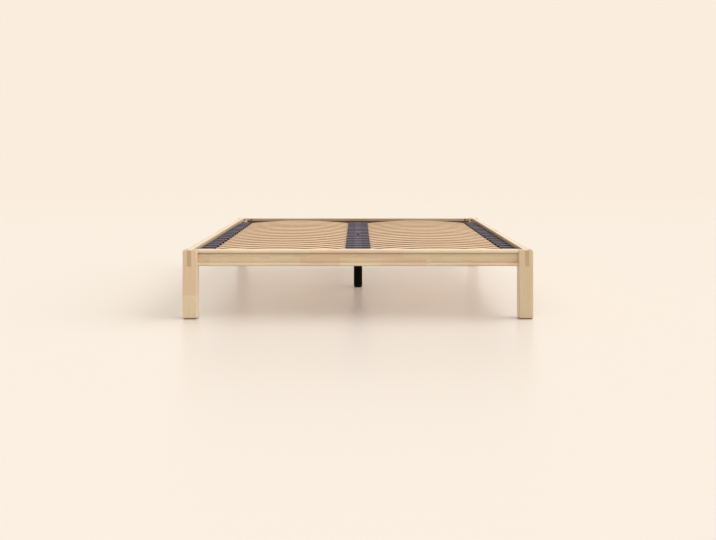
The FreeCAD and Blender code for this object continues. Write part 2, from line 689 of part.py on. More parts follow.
def make_screws():
    """Wood screws: through the ledgers into the side rails, and the hangers into the end rails."""
    screws = add_body("wood_screws")
    cylinder(screws, "YZ_Plane", "Fit.ledger_inner", "Fit.first_screw", "Fit.screw_height",
             "Dim.screw_radius", "Dim.screw_length", 1)
    cylinder(screws, "YZ_Plane", "Fit.ledger_inner", "Fit.first_screw", "Fit.screw_height",
             "Dim.screw_head_radius", "Dim.screw_head_height", -1)
    copy_along(screws, "Y_Axis", "Fit.screw_pitch", "Fit.screw_pairs * 2")
    plate_face = "Fit.half_length - Dim.hanger_thickness"
    shank = cylinder(screws, "XZ_Plane", plate_face, "Fit.hanger_screw_x", "Fit.screw_height",
                     "Dim.screw_radius", "Dim.hanger_screw_length", 1)
    head = cylinder(screws, "XZ_Plane", plate_face, "Fit.hanger_screw_x", "Fit.screw_height",
                    "Dim.screw_head_radius", "Dim.screw_head_height", -1)
    mirror(screws, "XZ_Plane", [shank, head])
    mirror(screws, "YZ_Plane")


def make_glides():
    """Felt glides under the four corner legs."""
    glides = add_body("leg_glides")
    square = add_sketch(glides, "XY_Plane")
    rectangle(square, f"Fit.leg_x - Dim.leg_side / 2 + Dim.glide_inset",
              "Fit.leg_y - Dim.leg_side / 2 + Dim.glide_inset",
              "Fit.leg_x + Dim.leg_side / 2 - Dim.glide_inset",
              "Fit.leg_y + Dim.leg_side / 2 - Dim.glide_inset")
    pad(glides, square, "Dim.glide_thickness", 1)
    round_edges(glides, "Dim.leg_round", lambda edge: runs_along(edge, 0, 0, 1))
    mirror(glides, "XZ_Plane")
    mirror(glides, "YZ_Plane")


def make_centre_leg():
    """The round steel leg under the beam: a tube, its top plate and the plate's threaded boss."""
    leg = add_body("centre_leg")
    bore = "Dim.centre_bolt_radius + Dim.screw_play"
    turned(leg, [
        (bore, "Fit.beam_bottom"), ("Dim.plate_radius", "Fit.beam_bottom"),
        ("Dim.plate_radius", "Fit.plate_bottom"), ("Dim.tube_radius", "Fit.plate_bottom"),
        ("Dim.tube_radius", "Fit.tube_bottom"), ("Fit.tube_inside", "Fit.tube_bottom"),
        ("Fit.tube_inside", "Fit.plate_bottom"), ("Dim.boss_radius", "Fit.plate_bottom"),
        ("Dim.boss_radius", "Fit.boss_bottom"), (bore, "Fit.boss_bottom"),
    ])


def make_plug():
    """The moulded plug in the tube's lower end, with the levelling foot's thread."""
    plug = add_body("leg_plug")
    bore = "Dim.stud_radius + Dim.stud_play"
    shank = "Fit.tube_inside - Dim.plug_gap"
    bottom, top = "Fit.tube_bottom - Dim.plug_flange", "Fit.tube_bottom + Dim.plug_length"
    turned(plug, [
        (bore, bottom), ("Dim.tube_radius", bottom), ("Dim.tube_radius", "Fit.tube_bottom"),
        (shank, "Fit.tube_bottom"), (shank, top), (bore, top),
    ])


def make_levelling_foot():
    """The threaded stud and the pad that it turns in."""
    stud = add_body("levelling_stud")
    disc_top = "Fit.disc_bottom + Dim.disc_height"
    turned(stud, [
        ("0", "Fit.disc_bottom"), ("Dim.disc_radius", "Fit.disc_bottom"),
        ("Dim.disc_radius", disc_top), ("Dim.stud_radius", disc_top),
        ("Dim.stud_radius", "Fit.disc_bottom + Dim.stud_length"),
        ("0", "Fit.disc_bottom + Dim.stud_length"),
    ])
    foot = add_body("levelling_pad")
    neck = "Dim.stud_radius + Dim.disc_gap"
    hollow = "Dim.disc_radius + Dim.disc_gap"
    floor, ceiling = "Fit.disc_bottom - Dim.disc_gap", f"{disc_top} + Dim.disc_gap"
    turned(foot, [
        ("0", "0"), ("Dim.pad_radius", "0"), ("Dim.pad_radius", "Dim.pad_height"),
        (neck, "Dim.pad_height"), (neck, ceiling), (hollow, ceiling), (hollow, floor), ("0", floor),
    ])
    round_edges(foot, "Dim.pad_round", lambda edge: is_round(edge, sheet.pad_radius))


make_leg("leg_foot_left", -1, -1)
make_leg("leg_foot_right", 1, -1)
make_leg("leg_head_left", -1, 1)
make_leg("leg_head_right", 1, 1)
make_side_rail("side_rail_left", -1)
make_side_rail("side_rail_right", 1)
make_end_rail("foot_rail", -1)
make_end_rail("head_rail", 1)
make_ledger("ledger_left", -1)
make_ledger("ledger_right", 1)
make_beam()
make_hangers()
for row in range(round(place.rows)):
    make_slat(f"slat_left_{row + 1:02d}", -1, row)
    make_slat(f"slat_right_{row + 1:02d}", 1, row)
make_side_caps()
make_centre_caps()
make_bolts()
make_barrel_nuts()
make_screws()
make_glides()
make_centre_leg()
make_plug()
make_levelling_foot()

doc.recompute()
for item in doc.Objects:
    if "Invalid" in item.State or "Error" in item.State:
        raise RuntimeError(f"{item.Name} could not be built: {item.State}")
for sub_part in sub_parts:
    if sub_part.Shape.isNull() or not sub_part.Shape.isValid():
        raise RuntimeError(f"{sub_part.Label} is not a valid solid")

os.makedirs("parts", exist_ok=True)
for sub_part in sub_parts:
    sub_part.Shape.exportStep(f"parts/{sub_part.Label}.step")
    shape = sub_part.Shape
    print(f"{sub_part.Label}: {len(shape.Solids)} solids, {shape.Volume / 1000:.1f} cm3")
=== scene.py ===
import json
import math

import bmesh
import bpy
import mathutils
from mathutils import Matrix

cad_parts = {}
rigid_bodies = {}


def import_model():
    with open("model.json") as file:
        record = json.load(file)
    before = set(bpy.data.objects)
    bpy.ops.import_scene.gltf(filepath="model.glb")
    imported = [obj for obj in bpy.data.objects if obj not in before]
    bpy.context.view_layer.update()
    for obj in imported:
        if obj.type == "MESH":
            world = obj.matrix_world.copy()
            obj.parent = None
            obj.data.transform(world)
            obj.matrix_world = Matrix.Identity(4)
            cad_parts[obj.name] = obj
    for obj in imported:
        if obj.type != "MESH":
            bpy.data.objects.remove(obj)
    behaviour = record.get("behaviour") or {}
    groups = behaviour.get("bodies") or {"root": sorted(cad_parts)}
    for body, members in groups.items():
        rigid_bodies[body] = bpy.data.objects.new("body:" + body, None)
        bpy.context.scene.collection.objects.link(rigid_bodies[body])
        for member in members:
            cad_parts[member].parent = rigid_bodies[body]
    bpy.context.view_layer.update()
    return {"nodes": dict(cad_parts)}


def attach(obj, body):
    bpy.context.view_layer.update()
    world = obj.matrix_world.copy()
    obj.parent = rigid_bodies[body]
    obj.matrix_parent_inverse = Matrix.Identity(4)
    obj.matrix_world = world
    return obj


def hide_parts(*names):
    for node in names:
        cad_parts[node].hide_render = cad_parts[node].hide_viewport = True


# The looks of a low double bed frame: pale finger-jointed wood, bowed plywood slats in navy
# rubber caps, black steel and plastic on the round centre leg. Lengths are in metres. +X is the
# right side seen from the foot end, +Y points to the head end and +Z up.

for leftover in list(bpy.data.objects):
    bpy.data.objects.remove(leftover)
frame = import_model()
nodes = frame["nodes"]


# ---------------------------------------------------------------- shader maths

class Value:
    """A node's output, with arithmetic that adds Math nodes."""

    def __init__(self, finish, socket):
        self.finish = finish
        self.socket = socket

    def math(self, operation, *others):
        inputs = dict(enumerate((self, *others)))
        return self.finish.add("Math", {"operation": operation}, inputs)

    def reflected(self, operation, other):
        return self.finish.add("Math", {"operation": operation}, {0: other, 1: self})

    def __add__(self, other):
        return self.math("ADD", other)

    def __sub__(self, other):
        return self.math("SUBTRACT", other)

    def __mul__(self, other):
        return self.math("MULTIPLY", other)

    def __truediv__(self, other):
        return self.math("DIVIDE", other)

    def __rsub__(self, other):
        return self.reflected("SUBTRACT", other)

    def __rtruediv__(self, other):
        return self.reflected("DIVIDE", other)

    def __gt__(self, other):
        return self.math("GREATER_THAN", other)

    def __lt__(self, other):
        return self.math("LESS_THAN", other)

    def __abs__(self):
        return self.math("ABSOLUTE")

    __radd__ = __add__
    __rmul__ = __mul__

    def whole(self):
        """The whole number at or below this one."""
        return self.math("FLOOR")

    def part(self):
        """What is left above the whole number, from 0 to 1."""
        return self.math("FRACT")

    def zigzag(self):
        """0 to 1 and back over each whole step."""
        return self.math("PINGPONG", 0.5) * 2

    def fade(self, start, end):
        """Rises smoothly from 0 at start to 1 at end."""
        return self.finish.add("MapRange", {"interpolation_type": "SMOOTHSTEP"},
                               {"Value": self, "From Min": start, "From Max": end})

    def between(self, low, high):
        """0 to 1 turned into low to high."""
        return self * (high - low) + low


class Finish:
    """A node tree: a material's, or the world's."""

    def __init__(self, owner):
        self.owner = owner
        owner.use_nodes = True
        self.tree = owner.node_tree
        self.tree.nodes.clear()

    def add(self, kind, settings=None, inputs=None, output=0):
        """A node of this kind: its settings, then the values or links of its sockets."""
        node = self.tree.nodes.new("ShaderNode" + kind)
        for name, setting in (settings or {}).items():
            setattr(node, name, setting)
        for key, value in (inputs or {}).items():
            socket = node.inputs[key]
            if isinstance(value, Value):
                self.tree.links.new(value.socket, socket)
            elif socket.type == "RGBA":
                socket.default_value = (*value, 1)
            else:
                socket.default_value = value
        return Value(self, node.outputs[output]) if len(node.outputs) else None

    def coordinates(self, kind):
        """The X, Y and Z of a texture coordinate."""
        point = self.add("TexCoord", output=kind)
        return [self.add("SeparateXYZ", None, {0: point}, axis) for axis in "XYZ"]

    def place(self):
        """The X, Y and Z of the point, in metres in the bed's own frame."""
        return self.coordinates("Object")

    def facing(self):
        """How far the surface faces along X, Y and Z, from 0 to 1."""
        return [abs(share) for share in self.coordinates("Normal")]

    def underside(self):
        """0 to 1 where the surface faces down."""
        return (0 - self.coordinates("Normal")[2]).fade(0.15, 0.8)

    def vector(self, x, y, z):
        return self.add("CombineXYZ", None, {0: x, 1: y, 2: z})

    def noise(self, x, y, z, detail, roughness=0.5):
        """Smooth noise of about 0.3 to 0.7, one lump wide where a coordinate grows by one."""
        return self.add("TexNoise", None, {"Vector": self.vector(x, y, z), "Scale": 1.0,
                                           "Detail": detail, "Roughness": roughness}, "Fac")

    def speckle(self, lumps, detail):
        """Noise with this many lumps to the metre, alike in all directions."""
        x, y, z = self.place()
        return self.noise(x * lumps, y * lumps, z * lumps, detail)

    def chance(self, x, y, z):
        """A number from 0 to 1 that is its own for each x, y, z."""
        return self.add("TexWhiteNoise", None, {"Vector": self.vector(x, y, z)}, "Value")

    def mix(self, first, second, factor):
        """A colour between two colours."""
        return self.add("Mix", {"data_type": "RGBA"}, {0: factor, 6: first, 7: second}, 2)

    def tint(self, colour, strength):
        """A colour made darker or brighter by a number."""
        return self.add("VectorMath", {"operation": "SCALE"}, {0: colour, "Scale": strength})

    def bump(self, height, depth, strength):
        """A surface that rises by depth metres as height goes from 0 to 1."""
        return self.add("Bump", None, {"Height": height, "Distance": depth,
                                       "Strength": strength})

    def surface(self, inputs):
        """Ends the tree in a Principled surface."""
        shader = self.add("BsdfPrincipled", None, inputs)
        self.add("OutputMaterial", None, {"Surface": shader})
        return self.owner


def finish(name):
    return Finish(bpy.data.materials.new(name))


# ---------------------------------------------------------------- places that looks depend on

# The end rails' inner faces, how far behind them the recess may reach, and over which depths
# the painted shade of the inner lip fades out and that of the recess fades in.
END_RAIL_INSIDE = 1.004
RECESS_REACH = 0.030
INNER_LIP_ENDS = (0.001, 0.006)
RECESS_BEGINS = (0.003, 0.010)

# The underside of the rails' upper lips, and the heights over which painted shade darkens the
# corner below.
LIP_UNDERSIDE = 0.3149
CORNER_SHADE_HEIGHTS = (0.3075, 0.3142)

# Rows of slats: their middles lie at whole pitches, so the shift has half a row in it, and the
# rest of it keeps the row numbers above zero.
ROW_PITCH = 0.101
ROW_SHIFT = 20.5

# A slat: its middle along X, half its length, how far it rises, the height of its crown, its
# thickness, the radius of its bow and its number of veneers.
SLAT_MIDDLE = 0.4015
SLAT_HALF = 0.3835
SLAT_RISE = 0.023
SLAT_CROWN = 0.322
SLAT_THICKNESS = 0.008
SLAT_RADIUS = (SLAT_HALF ** 2 + SLAT_RISE ** 2) / (2 * SLAT_RISE)
VENEERS = 7

# Half the width of the double caps' middle rib.
CENTRE_RIB = 0.0201


def row_number(y):
    """The number of the row of slats that a point belongs to."""
    return (y / ROW_PITCH + ROW_SHIFT).whole()


# ---------------------------------------------------------------- wood

PALE_STAVE = (0.900, 0.745, 0.510)
ROSY_STAVE = (0.880, 0.665, 0.460)
BROWN_STAVE = (0.790, 0.615, 0.400)
END_GRAIN = (0.640, 0.450, 0.270)

# Finger joints: the fingers' pitch and length, and where in a block its two boards meet. The
# shift keeps the blocks' numbers above zero.
FINGER_PITCH = 0.0042
FINGER_REACH = 0.0055
BOARDS_MEET = (0.38, 0.62)
BLOCK_SHIFT = 40

# Growth rings: how far the pith is from a stave's middle, the rings' pitch and how far they
# wander, and the shares of a ring over which its late wood darkens and ends.
PITH_AWAY = (0.05, 0.11)
RING_PITCH = 0.0034
RING_WANDER = 0.016
LATE_WOOD_DARKENS = (0.45, 0.92)
LATE_WOOD_ENDS = (0.94, 1.0)
FULL_TURN = 6.283

# Noise in the wood: lumps to the metre along the fibres and across them, and how far apart in
# the noise two boards may lie.
WANDER = (3.0, 14, 50)
STREAKS = (5, 420, 90)
PORES = (45, 1500, 70)
CLOUDS = (2.2, 9, 30)

# How bright the clear wood is, and how much each thing takes off it. Clouds go both ways. The
# underside, the corner under a lip and the end rails' inner lip and recess take off painted
# shade.
CLEAR_WOOD = 1.08
LATE_WOOD_DARK = 0.100
STREAK_DARK = 0.13
PORE_DARK = 0.10
CLOUD_CHANGE = 0.16
END_GRAIN_DARK = 0.08
UNDERSIDE_PAINTED_SHADE = 0.45
LIP_CORNER_PAINTED_SHADE = 0.55
INNER_LIP_PAINTED_SHADE = 0.36
RECESS_PAINTED_SHADE = 0.75


def lip_corner_painted_shade(z, facing):
    """Painted shade in the corner under a rail's upper lip, darkening the web."""
    corner = (z < LIP_UNDERSIDE) * z.fade(*CORNER_SHADE_HEIGHTS)
    return 1 - corner * facing * LIP_CORNER_PAINTED_SHADE


# Painted shade under the side rails' upper lips.
def side_rail_painted_shade(wood, x, y, z):
    return lip_corner_painted_shade(z, wood.facing()[0])


def end_rail_painted_shade(wood, x, y, z):
    """Painted shade: under the upper lip as on the side rails, and over the inner side, above
    all its recess.
    """
    deep = abs(y) - END_RAIL_INSIDE
    inner_lip = 1 - deep.fade(*INNER_LIP_ENDS)
    recess = (deep < RECESS_REACH) * (z < LIP_UNDERSIDE) * deep.fade(*RECESS_BEGINS)
    shade = 1 - inner_lip * INNER_LIP_PAINTED_SHADE - recess * RECESS_PAINTED_SHADE
    return shade * lip_corner_painted_shade(z, wood.facing()[1])


def solid_wood(name, along, stave, offset, length, start=0.0, spread=7.0, seed=0.0, shade=1.0,
               wear_and_painted_shade=None):
    """Solid wood glued up from finger-jointed staves, with its fibres along X, Y or Z.

    stave gives a stave's size across the two other axes, and offset where its first seam is.
    The staves are made of blocks of this length, each of two boards: one block begins at start,
    and each row of staves is shifted by chance as far as spread allows. shade darkens the whole
    piece, and the function passed last adds painted shade, place by place."""
    wood = finish(name)
    xyz = wood.place()
    facing = wood.facing()
    fibre = "XYZ".index(along)
    u, v, w = xyz[fibre], xyz[(fibre + 1) % 3], xyz[(fibre + 2) % 3]
    end_grain = facing[fibre].fade(0.6, 0.8)

    def lumps(sizes, draw, detail, roughness=0.5):
        """Noise drawn out along the fibres, its own for each board's random draw."""
        lengthwise, crosswise, apart = sizes
        return wood.noise(u * lengthwise + draw * apart, v * crosswise, w * crosswise,
                          detail, roughness)

    # The board that a point lies in. What is added to a count gives each draw its own numbers.
    column = ((v - offset[0]) / stave[0]).whole()
    layer = ((w - offset[1]) / stave[1]).whole()
    shift = wood.chance(column, layer, 3.7 + seed) * spread
    fingers = ((v + w) / FINGER_PITCH).zigzag() * FINGER_REACH
    run = (u - start + fingers) / length + shift + BLOCK_SHIFT
    block = run.whole()
    cut = wood.chance(column, block, layer + 0.5).between(*BOARDS_MEET)
    board = block * 2 + (run.part() > cut)
    luck = wood.chance(board, column + 0.3, layer + 11 + seed)
    luck_two = wood.chance(board, column + 7.9, layer + 23 + seed)

    # Growth rings about a pith that lies outside the stave.
    turn = luck * FULL_TURN
    away = luck_two.between(*PITH_AWAY)
    wander = lumps(WANDER, luck, detail=2.0) * RING_WANDER
    pith_v = v - (column + 0.5) * stave[0] - offset[0] - turn.math("COSINE") * away
    pith_w = w - (layer + 0.5) * stave[1] - offset[1] - turn.math("SINE") * away
    radius = (pith_v * pith_v + pith_w * pith_w).math("SQRT") + wander
    ring = (radius / RING_PITCH + luck * 9).part()
    late = ring.fade(*LATE_WOOD_DARKENS) - ring.fade(*LATE_WOOD_ENDS)

    # Fine streaks and pores along the fibres, and broad patches of colour.
    streak = lumps(STREAKS, luck, detail=3.0, roughness=0.6)
    pore = lumps(PORES, luck_two, detail=1.0).fade(0.60, 0.70)
    cloud = lumps(CLOUDS, luck, detail=2.0) - 0.5

    colour = wood.mix(PALE_STAVE, ROSY_STAVE, luck.fade(0.15, 0.85))
    colour = wood.mix(colour, BROWN_STAVE, luck_two.fade(0.45, 1.0) * 0.7)
    colour = wood.mix(colour, END_GRAIN, end_grain * 0.75)
    bright = CLEAR_WOOD - late * LATE_WOOD_DARK - streak.fade(0.35, 0.75) * STREAK_DARK
    bright = bright - pore * PORE_DARK + cloud * CLOUD_CHANGE
    bright = bright * (1 - end_grain * END_GRAIN_DARK)
    # Painted shade where the wood faces down.
    bright = bright * (1 - wood.underside() * UNDERSIDE_PAINTED_SHADE) * shade
    # Painted shade, place by place, from the function passed in.
    if wear_and_painted_shade:
        bright = bright * wear_and_painted_shade(wood, *xyz)

    relief = streak * 0.7 - pore * 0.5 - late * 0.25
    return wood.surface({
        "Base Color": wood.tint(colour, bright),
        "Roughness": 0.24 + streak * 0.12 + end_grain * 0.30,
        "Normal": wood.bump(relief, depth=0.00012, strength=0.6),
        "Specular IOR Level": 0.5,
        "Coat Weight": 0.5,
        "Coat Roughness": 0.22,
    })


# ---------------------------------------------------------------- slats

PLAIN_BEECH = (0.780, 0.520, 0.305)
ROSY_BEECH = (0.870, 0.605, 0.375)
BEECH_EDGE = (0.820, 0.430, 0.220)


def slat_plywood():
    """Bent beech plywood: long fine grain on its faces, veneers on its edges, which are
    darkened partly as end grain and partly as painted shade.
    """
    ply = finish("beech_plywood")
    x, y, z = ply.place()
    side = x.math("SIGN")
    row = row_number(y)
    luck = ply.chance(row, side, 5.0)
    luck_two = ply.chance(row, side, 17.0)
    edge = 1 - ply.facing()[2].fade(0.5, 0.8)

    # How deep a point lies under the bowed top, in veneers.
    bow = abs(x) - SLAT_MIDDLE
    rise = z - (SLAT_CROWN - SLAT_RADIUS)
    under_top = (SLAT_RADIUS - (bow * bow + rise * rise).math("SQRT")) / SLAT_THICKNESS
    deep = under_top * VENEERS
    veneer = deep.whole()
    glue_line = deep.part().fade(0.88, 1.0)
    crosswise = (veneer / 2).part() * 2
    layers = ply.chance(veneer, row, side).between(0.86, 1.04) - crosswise * 0.16

    figure = ply.noise(x * 1.6 + luck * 40, y * 26 + luck_two * 9, 0.5, detail=3.0)
    streak = ply.noise(x * 7 + luck * 80, y * 520, z * 300, detail=3.0, roughness=0.6)
    fleck = ply.noise(x * 150 + luck_two * 60, y * 1300, z * 500, detail=1.0).fade(0.62, 0.72)

    beech = ply.mix(PLAIN_BEECH, ROSY_BEECH, luck.fade(0.0, 1.0))
    bright = 1.04 - streak.fade(0.35, 0.75) * 0.10 - fleck * 0.10 + (figure - 0.5) * 0.22
    # The edges are under half as bright: partly the veneers' end grain, partly painted shade.
    edge_tone_and_painted_shade = (layers - glue_line * 0.35) * (0.46 + (streak - 0.5) * 0.1)
    face = ply.tint(beech, bright)
    side_face = ply.tint(ply.mix(beech, BEECH_EDGE, factor=0.5), edge_tone_and_painted_shade)
    relief = streak - fleck * 0.6 - glue_line * edge
    return ply.surface({
        "Base Color": ply.mix(face, side_face, edge),
        "Roughness": 0.30 + streak * 0.12 + edge * 0.20,
        "Normal": ply.bump(relief, depth=0.0001, strength=0.5),
        "Specular IOR Level": 0.5,
    })


# ---------------------------------------------------------------- rubber, plastic, metal, felt

NAVY = (0.006, 0.003, 0.032)
PALE_NAVY = (0.140, 0.115, 0.235)
COAT_BLACK = (0.004, 0.0035, 0.004)
PLASTIC_BLACK = (0.005, 0.005, 0.006)
OXIDE_BLACK = (0.008, 0.007, 0.008)
ZINC_GREY = (0.620, 0.640, 0.660)
THREAD_GREY = (0.660, 0.660, 0.640)
FELT_BROWN = (0.110, 0.080, 0.058)


def cap_rubber():
    """Dark navy moulded rubber with a fine grain, pale dust on top with a painted sheen, a
    paler middle rib, and painted shade on the faces towards the foot and head ends.
    """
    rubber = finish("navy_rubber")
    x, y, z = rubber.place()
    facing = rubber.facing()
    grain = rubber.speckle(lumps=900, detail=2.0)
    patch = rubber.speckle(lumps=18, detail=3.0)
    # Pale dust on the tops, with a painted sheen.
    dust_and_painted_sheen = facing[2].fade(0.5, 0.9) * patch.fade(0.2, 0.8)
    rib = abs(x) < CENTRE_RIB
    cap_luck = rubber.chance(row_number(y), x.math("SIGN"), 2.0)
    colour = rubber.mix(NAVY, PALE_NAVY, dust_and_painted_sheen * 0.65 + rib * 0.35)
    colour = rubber.tint(colour, cap_luck.between(0.9, 1.1) + (grain - 0.5) * 0.12)
    # Painted shade on the faces that look towards the foot and head ends.
    colour = rubber.tint(colour, 1 - facing[1].fade(0.5, 0.9) * 0.75)
    return rubber.surface({
        "Base Color": colour,
        "Roughness": 0.30 + grain * 0.12 + dust_and_painted_sheen * 0.06,
        "Normal": rubber.bump(grain, depth=0.00012, strength=0.5),
        "Specular IOR Level": 0.12,
    })


def coated_steel():
    """Satin black powder coat with a slight orange peel."""
    coat = finish("black_powder_coat")
    x, y, z = coat.place()
    peel = coat.speckle(lumps=620, detail=2.0)
    wear_and_painted_shade = coat.noise(x * 40, y * 40, z * 14, detail=3.0)
    return coat.surface({
        "Base Color": coat.tint(COAT_BLACK, wear_and_painted_shade.between(0.7, 1.3)),
        "Roughness": 0.42 + peel * 0.10 + wear_and_painted_shade * 0.06,
        "Normal": coat.bump(peel, depth=0.00015, strength=0.5),
        "Specular IOR Level": 0.05,
    })


def moulded_plastic():
    """Black moulded plastic with a fine spark-eroded grain."""
    plastic = finish("black_plastic")
    grain = plastic.speckle(lumps=1100, detail=2.0)
    return plastic.surface({
        "Base Color": plastic.tint(PLASTIC_BLACK, grain.between(0.7, 1.3)),
        "Roughness": 0.50 + grain * 0.14,
        "Normal": plastic.bump(grain, depth=0.0001, strength=0.5),
        "Specular IOR Level": 0.15,
    })


def bare_metal(name, colour, roughness, clouding):
    """Plated or blackened steel: fine scratches and a slightly cloudy surface."""
    metal = finish(name)
    x, y, z = metal.place()
    cloud = metal.speckle(lumps=110, detail=3.0) - 0.5
    scratch = metal.noise(x * 260, y * 2600, z * 900, detail=2.0)
    return metal.surface({
        "Base Color": metal.tint(colour, 0.90 + cloud * clouding + scratch * 0.15),
        "Roughness": roughness + cloud * 0.25 + scratch * 0.10,
        "Metallic": 1.0,
        "Normal": metal.bump(scratch, depth=0.00004, strength=0.4),
    })


def pressed_felt():
    """Brown pressed felt: short tangled fibres."""
    felt = finish("brown_felt")
    x, y, z = felt.place()
    tangle = felt.noise(x * 700, y * 700, z * 1400, detail=5.0, roughness=0.7)
    clump = felt.noise(x * 160, y * 160, z * 300, detail=3.0)
    return felt.surface({
        "Base Color": felt.tint(FELT_BROWN, tangle.between(0.5, 1.2) + clump * 0.5),
        "Roughness": 0.90 + clump * 0.1,
        "Normal": felt.bump(tangle, depth=0.0006, strength=0.8),
        "Specular IOR Level": 0.2,
    })


# ---------------------------------------------------------------- a finish for each node

# Each leg is two staves deep, with its joints at one height in both. LEFT to HEAD are the
# legs' first seams along X and Y, and start is the height of a joint: the left leg at the foot
# end has one low down, as in the photo. A start below the floor leaves a leg without a joint.
LEG_STAVE = (0.072, 0.036)
LEG_BLOCK = 1.0
LEFT, RIGHT = -0.846, 0.774
FOOT, HEAD = -1.075, 1.003
LEGS = {
    "leg_foot_left": {"offset": (LEFT, FOOT), "start": 0.118, "seed": 35.0},
    "leg_foot_right": {"offset": (RIGHT, FOOT), "start": -0.02, "seed": 15.0, "shade": 0.93},
    "leg_head_left": {"offset": (LEFT, HEAD), "start": 0.21, "seed": 3.0},
    "leg_head_right": {"offset": (RIGHT, HEAD), "start": -0.02, "seed": 4.0},
}
leg_woods = {
    leg: solid_wood(leg + "_wood", "Z", LEG_STAVE, length=LEG_BLOCK, spread=0.0, **own)
    for leg, own in LEGS.items()
}
side_wood = solid_wood("side_rail_wood", "Y", stave=(0.039, 0.040), offset=(0.254, 0.800),
                       length=0.46, wear_and_painted_shade=side_rail_painted_shade)
end_wood = solid_wood("end_rail_wood", "X", stave=(0.040, 0.039), offset=(0.004, 0.254),
                      length=0.42, seed=9.0, wear_and_painted_shade=end_rail_painted_shade)
batten_wood = solid_wood("batten_wood", "Y", stave=(0.2, 0.2), offset=(0.1, 0.04),
                         length=0.9, shade=0.92)
ply = slat_plywood()
rubber = cap_rubber()
powder_coat = coated_steel()
plastic = moulded_plastic()
black_bolt = bare_metal("black_oxide", OXIDE_BLACK, roughness=0.55, clouding=0.3)
zinc = bare_metal("zinc_plate", ZINC_GREY, roughness=0.34, clouding=0.3)
thread_steel = bare_metal("bright_thread", THREAD_GREY, roughness=0.28, clouding=0.2)
felt = pressed_felt()

# All other nodes are slats.
FINISHES = {
    **leg_woods,
    "side_rail_left": side_wood,
    "side_rail_right": side_wood,
    "foot_rail": end_wood,
    "head_rail": end_wood,
    "ledger_left": batten_wood,
    "ledger_right": batten_wood,
    "centre_beam": batten_wood,
    "beam_hangers": zinc,
    "side_caps": rubber,
    "centre_caps": rubber,
    "frame_bolts": black_bolt,
    "barrel_nuts": black_bolt,
    "wood_screws": zinc,
    "leg_glides": felt,
    "centre_leg": powder_coat,
    "leg_plug": plastic,
    "levelling_pad": plastic,
    "levelling_stud": thread_steel,
}
for node_name, node in nodes.items():
    node.data.materials[0] = FINISHES.get(node_name, ply)


# ---------------------------------------------------------------- thread and screw heads

RING_POINTS = 48
TINY = 1e-6


def new_piece(name, shape, material, node_name):
    """A mesh from bmesh geometry, in place of a CAD node."""
    mesh = bpy.data.meshes.new(name)
    shape.to_mesh(mesh)
    shape.free()
    mesh.polygons.foreach_set("use_smooth", [True] * len(mesh.polygons))
    mesh.materials.append(material)
    piece = bpy.data.objects.new(name, mesh)
    bpy.context.scene.collection.objects.link(piece)
    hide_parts(node_name)
    return piece


def circle(radius):
    """Points round a circle, as pairs. radius is a number, or gives one for each angle."""
    for n in range(RING_POINTS):
        angle = 2 * math.pi * n / RING_POINTS
        reach = radius(angle) if callable(radius) else radius
        yield reach * math.cos(angle), reach * math.sin(angle)


def join_rings(shape, rings):
    """A closed body from rings of points, each a list of places round one axis."""
    loops = [[shape.verts.new(point) for point in ring] for ring in rings]
    for lower, upper in zip(loops, loops[1:]):
        count = len(lower)
        for n in range(count):
            m = (n + 1) % count
            shape.faces.new((lower[n], lower[m], upper[m], upper[n]))
    shape.faces.new(list(reversed(loops[0])))
    shape.faces.new(loops[-1])


# The stud and the round disc at its lower end.
STUD_RADIUS = 0.005
STUD_BOTTOM = 0.0035
STUD_TOP = 0.0495
DISC_RADIUS = 0.010
DISC_TOP = 0.0065
DISC_CHAMFER = 0.0004

# The thread: half its crest's width and a flank's width are shares of the pitch.
THREAD_PITCH = 0.0015
THREAD_DEPTH = 0.0009
HALF_CREST = 0.08
FLANK = 0.34
LEVELS_TO_A_TURN = 8


def thread_radius(z, turn):
    """A right-hand thread's radius at a height and at a turn from 0 to 1."""
    phase = (z / THREAD_PITCH - turn) % 1.0
    flank = min(1.0, max(0.0, (abs(phase - 0.5) - HALF_CREST) / FLANK))
    runout = min(1.0, (z - DISC_TOP) / THREAD_PITCH, (STUD_TOP - z) / THREAD_PITCH)
    return STUD_RADIUS - THREAD_DEPTH * (flank if runout >= 1 else 1 - runout * (1 - flank))


def levelling_stud():
    """The M10 stud with its thread, on the round disc that turns in the pad."""
    levels = [
        (STUD_BOTTOM, DISC_RADIUS - DISC_CHAMFER),
        (STUD_BOTTOM + DISC_CHAMFER, DISC_RADIUS),
        (DISC_TOP - DISC_CHAMFER, DISC_RADIUS),
        (DISC_TOP, DISC_RADIUS - DISC_CHAMFER),
    ]
    rings = [[(x, y, z) for x, y in circle(radius)] for z, radius in levels]
    count = round((STUD_TOP - DISC_TOP) / THREAD_PITCH * LEVELS_TO_A_TURN)
    for k in range(count + 1):
        z = DISC_TOP + (STUD_TOP - DISC_TOP) * k / count
        thread = circle(lambda angle: thread_radius(z, angle / (2 * math.pi)))
        rings.append([(x, y, z) for x, y in thread])
    shape = bmesh.new()
    join_rings(shape, rings)
    stud = new_piece("levelling_thread", shape, thread_steel, "levelling_stud")
    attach(stud, "foot_stud")


# A screw's shank: its point, then a taper to this share of its radius and on to all of it, at
# these distances from the point.
SHANK_RADIUS = 0.0023
POINT_RADIUS = 0.0002
TAPER = 0.8
TAPER_END = 0.005
SHANK_START = 0.009

# Its head: the seat is this share of the radius, and the dome has a ring at each tilt, in
# degrees.
HEAD_RADIUS = 0.0046
HEAD_HEIGHT = 0.0024
HEAD_SEAT = 0.96
DOME_TILTS = (12, 23, 34, 45, 56, 67)

# Powers that make a round dome into a pan head: of its radius and of its height.
PAN_SIDE = 0.55
PAN_TOP = 0.8

